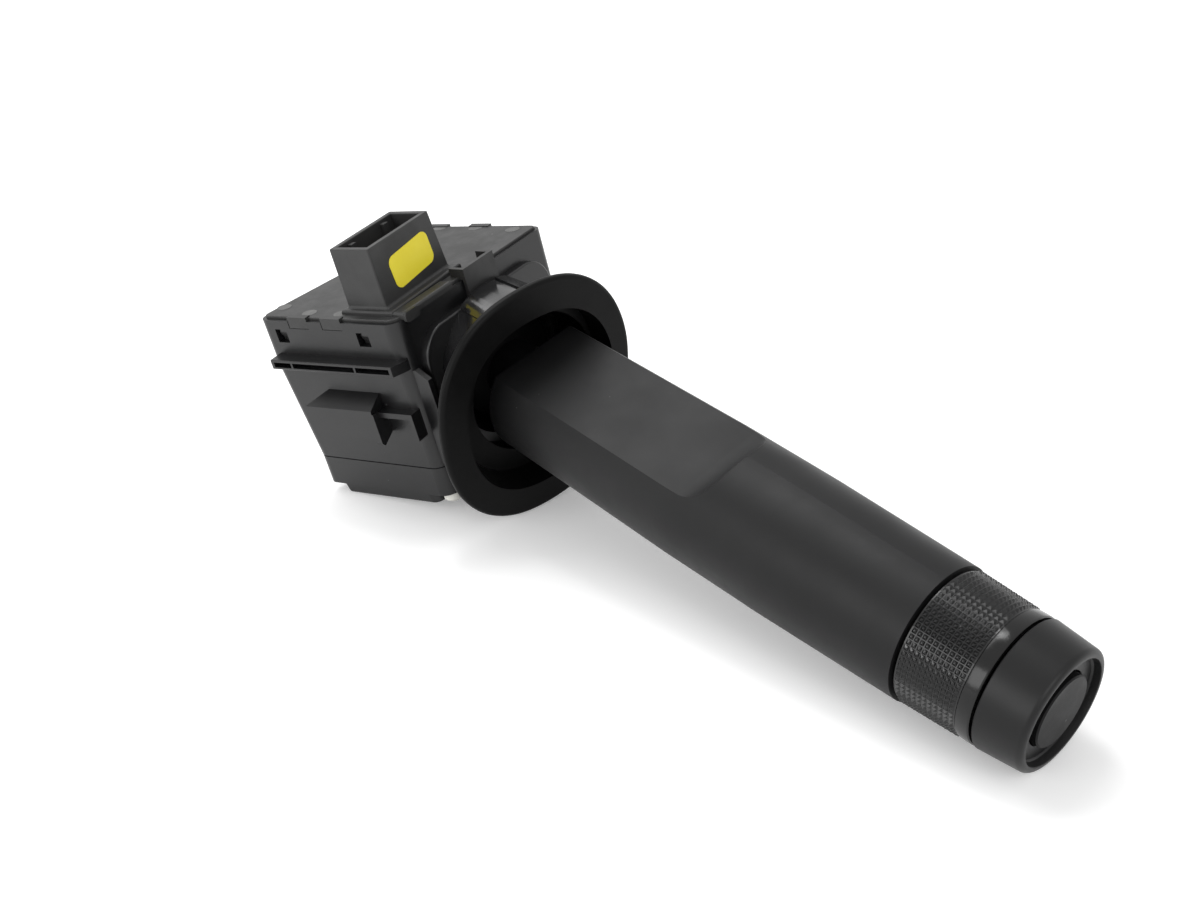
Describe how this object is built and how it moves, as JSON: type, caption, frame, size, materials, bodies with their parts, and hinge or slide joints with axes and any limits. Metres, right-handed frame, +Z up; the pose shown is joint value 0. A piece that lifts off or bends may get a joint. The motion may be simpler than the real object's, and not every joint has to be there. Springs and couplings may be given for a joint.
{
  "type": "stalk switch",
  "caption": "Column stalk switch: skewed black case with top plug socket, flared oval bezel and a long round grip with a flat, a knurled turning ring and an end button.",
  "frame": {"origin": "middle of the bottom cover's flat underside", "axes": "+X out of the case on the lever's side, +Y away from the side guide, +Z up through the plug socket"},
  "size_m": [0.2206, 0.1064, 0.0944],
  "materials": {
    "case_black": "fine moulded satin",
    "lid_black": "fine moulded satin",
    "bezel_black": "satin",
    "collar_gloss": "gloss",
    "grip_black": "soft satin",
    "ring_black": "fine cross knurl",
    "shoulder_gloss": "soft gloss",
    "label_yellow": "plain printed film",
    "nylon_white": "natural nylon",
    "board_green": "solder mask",
    "steel": "bright drawn",
    "brass": "stamped strip",
    "leads_grey": "ribbon insulation"
  },
  "bodies": {
    "housing": {"case": "case_black", "lid": "lid_black", "bottom_cover": "case_black", "main_board": "board_green", "board_screws": "steel", "connector_pins": "brass", "fixed_contacts": "brass", "side_board": "board_green", "side_contacts": "brass", "cam_tower": "nylon_white", "socket_collar": "collar_gloss", "bezel_flange": "bezel_black", "collar_peg": "nylon_white", "label_plate": "label_yellow", "pivot_bushes": "nylon_white"},
    "gimbal": {"gimbal_carrier": "nylon_white", "flash_pin": "steel", "signal_crank": "case_black"},
    "lever": {"lever_core": "case_black", "detent_plunger": "nylon_white", "detent_spring": "steel", "grip_tube": "grip_black", "tube_pin": "steel", "dust_shield": "case_black", "spindle": "case_black", "ring_tracks": "brass", "ring_ball": "steel", "ring_ball_spring": "steel", "end_cap": "grip_black", "end_board": "board_green", "button_switch": "ring_black", "lever_leads": "leads_grey"},
    "ring": {"knurled_ring": "ring_black", "ring_wiper": "brass", "shoulder_ring": "shoulder_gloss"},
    "button": {"tip_button": "ring_black", "switch_plunger": "nylon_white"},
    "flash_shuttle": {"flash_slider": "nylon_white", "flash_wipers": "brass"},
    "signal_shuttle": {"signal_slider": "nylon_white", "signal_wipers": "brass"}
  },
  "joints": [
    {"name": "signal_hinge", "type": "hinge", "parent": "housing", "child": "gimbal", "pos_m": [0.01016, 0.00485, 0.03377], "axis": [-0.3305, -0.9438, 0], "range_deg": [-7, 7]},
    {"name": "flash_hinge", "type": "hinge", "parent": "gimbal", "child": "lever", "pos_m": [0.01016, 0.00485, 0.03377], "axis": [0.1994, -0.0698, 0.9774], "range_deg": [-6, 2.5], "stiffness_Nm_per_rad": 4},
    {"name": "ring_turn", "type": "hinge", "parent": "lever", "child": "ring", "pos_m": [0.17252, -0.05201, -0.00342], "axis": [0.9225, -0.323, -0.2113], "range_deg": [-30, 30]},
    {"name": "button_push", "type": "slide", "parent": "lever", "child": "button", "axis": [-0.9225, 0.323, 0.2113], "range_m": [0, 0.0015], "stiffness_N_per_m": 600, "springref_m": -0.002},
    {"name": "flash_slide", "type": "slide", "parent": "housing", "child": "flash_shuttle", "axis": [0.3305, 0.9438, 0], "range_m": [-0.0006, 0.0013]},
    {"name": "signal_slide", "type": "slide", "parent": "housing", "child": "signal_shuttle", "axis": [0, 0, 1], "range_m": [-0.0014, 0.0014]}
  ],
  "couplings": [
    {"joint": "flash_slide", "follows": "flash_hinge", "m_per_rad": -0.0115},
    {"joint": "signal_slide", "follows": "signal_hinge", "m_per_rad": -0.00978}
  ]
}
